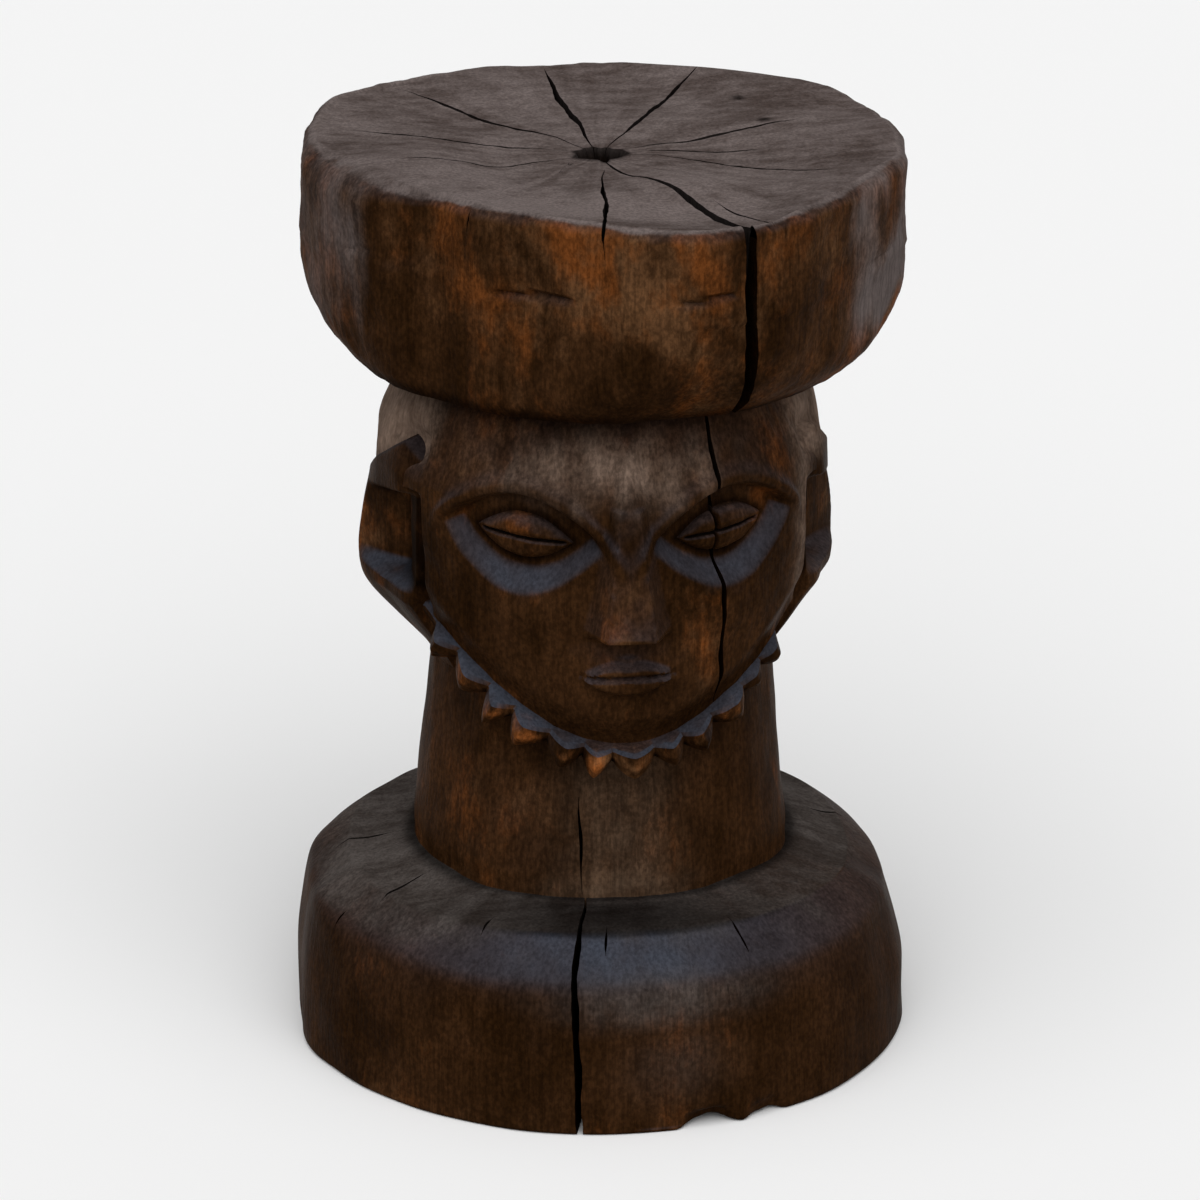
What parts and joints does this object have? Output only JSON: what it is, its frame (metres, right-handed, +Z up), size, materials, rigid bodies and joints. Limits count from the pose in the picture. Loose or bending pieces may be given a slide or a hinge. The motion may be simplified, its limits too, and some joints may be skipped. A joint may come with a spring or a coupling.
{
  "type": "carved log stool",
  "caption": "Solid carved log stool: a thick round seat carried on a bearded head, a stout neck and a round bevelled base, to sit on or to stand things on.",
  "frame": {"origin": "centre of the base's underside, on the floor", "axes": "+Z up along the log's axis; the face looks along -Y, and +X is to the viewer's right"},
  "size_m": [0.305, 0.305, 0.4503],
  "materials": {
    "seat_wood": "oiled, worn orange-brown on the wall, grey matte end grain on top",
    "head_wood": "dark oiled, polished by handling",
    "left_ear_wood": "dark oiled",
    "right_ear_wood": "dark oiled",
    "left_eye_wood": "dark oiled",
    "right_eye_wood": "dark oiled",
    "beard_wood": "dark oiled, worn orange-brown at the points",
    "neck_wood": "dark oiled",
    "base_wood": "dark oiled, polished shoulder"
  },
  "bodies": {
    "root": {"seat": "seat_wood", "head": "head_wood", "left_ear": "left_ear_wood", "right_ear": "right_ear_wood", "left_eye": "left_eye_wood", "right_eye": "right_eye_wood", "beard": "beard_wood", "neck": "neck_wood", "base": "base_wood"}
  },
  "joints": []
}
